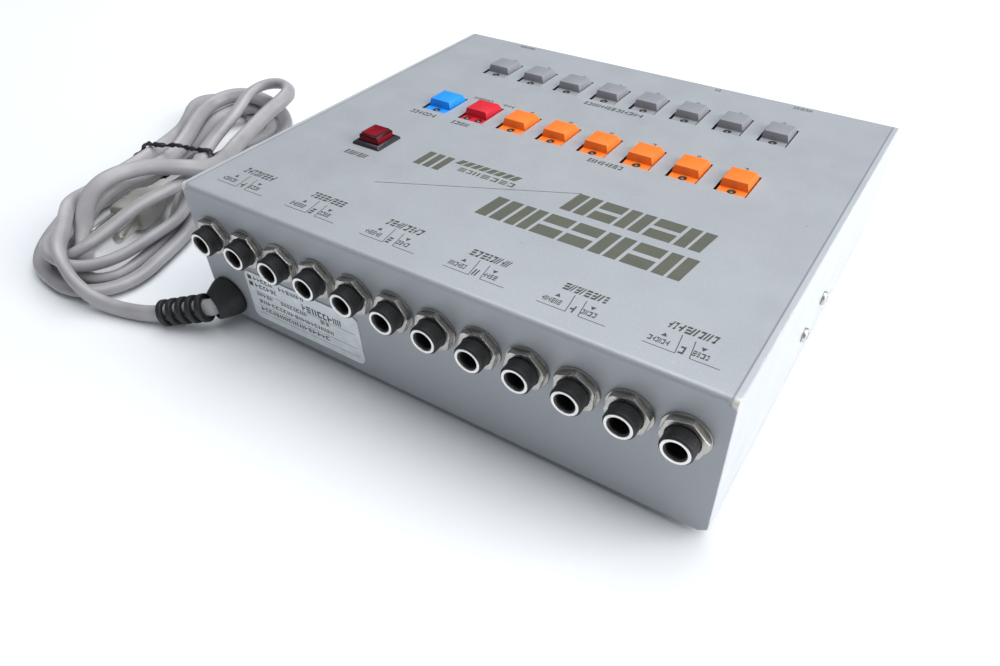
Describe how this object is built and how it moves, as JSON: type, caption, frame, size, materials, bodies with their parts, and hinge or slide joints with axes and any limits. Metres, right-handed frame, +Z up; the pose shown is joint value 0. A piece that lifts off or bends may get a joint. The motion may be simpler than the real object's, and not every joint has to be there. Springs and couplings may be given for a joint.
{
  "type": "effects loop switcher pedalboard",
  "caption": "Wedge-shaped steel floor switcher with two rows of coloured keys, rear and front quarter-inch sockets, a lit power button and a tied mains lead.",
  "frame": {"origin": "centre of the housing footprint, on the surface that the rubber feet stand on", "axes": "+X across the housing towards the mains lead, +Y towards the rear socket panel, +Z up"},
  "size_m": [0.3744, 0.2397, 0.0648],
  "materials": {
    "housing_paint": "satin silver-grey metallic paint",
    "chassis_paint": "satin silver-grey metallic paint",
    "zinc_steel": "bright zinc plate",
    "foot_rubber": "matt",
    "key_grey": "fine moulded satin",
    "key_orange": "fine moulded satin",
    "key_red": "fine moulded satin",
    "key_blue": "fine moulded satin",
    "lens_red": "translucent lens",
    "bezel_plastic": "semi-gloss",
    "switch_plastic": "matt",
    "jack_plastic": "semi-matt",
    "ferrule_metal": "turned, bright",
    "nickel_plate": "nickel plate, dulled",
    "contact_brass": "bright",
    "board_brown": "phenolic laminate",
    "board_green": "solder mask",
    "led_lens": "diffused lens, unlit",
    "chip_epoxy": "matt",
    "capacitor_sleeve": "shrink sleeve",
    "battery_sleeve": "shrink sleeve",
    "ribbon_vinyl": "vinyl",
    "core_steel": "varnished laminations",
    "coil_tape": "insulating tape",
    "fuse_glass": "clear",
    "plate_metal": "satin silver",
    "boot_rubber": "matt",
    "cord_vinyl": "satin vinyl",
    "tie_wrap": "fibrous twist tie",
    "plug_vinyl": "clear grey moulding",
    "blade_metal": "nickel plate"
  },
  "bodies": {
    "housing": {"top_cover": "housing_paint", "base_chassis": "chassis_paint", "cover_brackets": "zinc_steel", "side_screws": "zinc_steel", "rubber_feet": "foot_rubber", "foot_screws": "zinc_steel", "power_bezel": "bezel_plastic", "power_switch_housing": "switch_plastic", "jack_housings": "jack_plastic", "jack_ferrules": "ferrule_metal", "jack_nuts": "nickel_plate", "jack_washers": "nickel_plate", "jack_contacts": "contact_brass", "rear_jack_board": "board_brown", "key_board": "board_brown", "key_board_spacers": "contact_brass", "key_switch_housings": "switch_plastic", "key_contact_domes": "contact_brass", "indicator_leds": "led_lens", "main_board": "board_green", "main_board_standoffs": "contact_brass", "board_screws": "zinc_steel", "logic_chips": "chip_epoxy", "filter_capacitors": "capacitor_sleeve", "backup_battery": "battery_sleeve", "ribbon_cable": "ribbon_vinyl", "transformer_core": "core_steel", "transformer_coil": "coil_tape", "transformer_screws": "zinc_steel", "fuse_holder": "switch_plastic", "fuse": "fuse_glass", "label_plate": "plate_metal", "cord_boot": "boot_rubber", "strain_relief": "boot_rubber", "cord_lead": "cord_vinyl", "cord_hank": "cord_vinyl", "twist_tie": "tie_wrap", "plug_body": "plug_vinyl", "plug_blades": "blade_metal"},
    "program_key_1": {"program_key_1": "key_grey"},
    "program_key_2": {"program_key_2": "key_grey"},
    "program_key_3": {"program_key_3": "key_grey"},
    "program_key_4": {"program_key_4": "key_grey"},
    "program_key_5": {"program_key_5": "key_grey"},
    "program_key_6": {"program_key_6": "key_grey"},
    "program_key_7": {"program_key_7": "key_grey"},
    "program_key_8": {"program_key_8": "key_grey"},
    "effector_key_a": {"effector_key_a": "key_orange"},
    "effector_key_b": {"effector_key_b": "key_orange"},
    "effector_key_c": {"effector_key_c": "key_orange"},
    "effector_key_d": {"effector_key_d": "key_orange"},
    "effector_key_e": {"effector_key_e": "key_orange"},
    "effector_key_f": {"effector_key_f": "key_orange"},
    "mode_key": {"mode_key": "key_red"},
    "bypass_key": {"bypass_key": "key_blue"},
    "power_button": {"power_button": "lens_red"}
  },
  "joints": [
    {"name": "program_key_1_press", "type": "slide", "parent": "housing", "child": "program_key_1", "axis": [0, 0.0599, -0.9982], "range_m": [0, 0.0025], "stiffness_N_per_m": 400, "springref_m": -0.001},
    {"name": "program_key_2_press", "type": "slide", "parent": "housing", "child": "program_key_2", "axis": [0, 0.0599, -0.9982], "range_m": [0, 0.0025], "stiffness_N_per_m": 400, "springref_m": -0.001},
    {"name": "program_key_3_press", "type": "slide", "parent": "housing", "child": "program_key_3", "axis": [0, 0.0599, -0.9982], "range_m": [0, 0.0025], "stiffness_N_per_m": 400, "springref_m": -0.001},
    {"name": "program_key_4_press", "type": "slide", "parent": "housing", "child": "program_key_4", "axis": [0, 0.0599, -0.9982], "range_m": [0, 0.0025], "stiffness_N_per_m": 400, "springref_m": -0.001},
    {"name": "program_key_5_press", "type": "slide", "parent": "housing", "child": "program_key_5", "axis": [0, 0.0599, -0.9982], "range_m": [0, 0.0025], "stiffness_N_per_m": 400, "springref_m": -0.001},
    {"name": "program_key_6_press", "type": "slide", "parent": "housing", "child": "program_key_6", "axis": [0, 0.0599, -0.9982], "range_m": [0, 0.0025], "stiffness_N_per_m": 400, "springref_m": -0.001},
    {"name": "program_key_7_press", "type": "slide", "parent": "housing", "child": "program_key_7", "axis": [0, 0.0599, -0.9982], "range_m": [0, 0.0025], "stiffness_N_per_m": 400, "springref_m": -0.001},
    {"name": "program_key_8_press", "type": "slide", "parent": "housing", "child": "program_key_8", "axis": [0, 0.0599, -0.9982], "range_m": [0, 0.0025], "stiffness_N_per_m": 400, "springref_m": -0.001},
    {"name": "effector_key_a_press", "type": "slide", "parent": "housing", "child": "effector_key_a", "axis": [0, 0.0599, -0.9982], "range_m": [0, 0.0025], "stiffness_N_per_m": 400, "springref_m": -0.001},
    {"name": "effector_key_b_press", "type": "slide", "parent": "housing", "child": "effector_key_b", "axis": [0, 0.0599, -0.9982], "range_m": [0, 0.0025], "stiffness_N_per_m": 400, "springref_m": -0.001},
    {"name": "effector_key_c_press", "type": "slide", "parent": "housing", "child": "effector_key_c", "axis": [0, 0.0599, -0.9982], "range_m": [0, 0.0025], "stiffness_N_per_m": 400, "springref_m": -0.001},
    {"name": "effector_key_d_press", "type": "slide", "parent": "housing", "child": "effector_key_d", "axis": [0, 0.0599, -0.9982], "range_m": [0, 0.0025], "stiffness_N_per_m": 400, "springref_m": -0.001},
    {"name": "effector_key_e_press", "type": "slide", "parent": "housing", "child": "effector_key_e", "axis": [0, 0.0599, -0.9982], "range_m": [0, 0.0025], "stiffness_N_per_m": 400, "springref_m": -0.001},
    {"name": "effector_key_f_press", "type": "slide", "parent": "housing", "child": "effector_key_f", "axis": [0, 0.0599, -0.9982], "range_m": [0, 0.0025], "stiffness_N_per_m": 400, "springref_m": -0.001},
    {"name": "mode_key_press", "type": "slide", "parent": "housing", "child": "mode_key", "axis": [0, 0.0599, -0.9982], "range_m": [0, 0.0025], "stiffness_N_per_m": 400, "springref_m": -0.001},
    {"name": "bypass_key_press", "type": "slide", "parent": "housing", "child": "bypass_key", "axis": [0, 0.0599, -0.9982], "range_m": [0, 0.0025], "stiffness_N_per_m": 400, "springref_m": -0.001},
    {"name": "power_button_press", "type": "slide", "parent": "housing", "child": "power_button", "axis": [0, 0.0599, -0.9982], "range_m": [0, 0.0025], "stiffness_N_per_m": 500, "springref_m": -0.001}
  ]
}
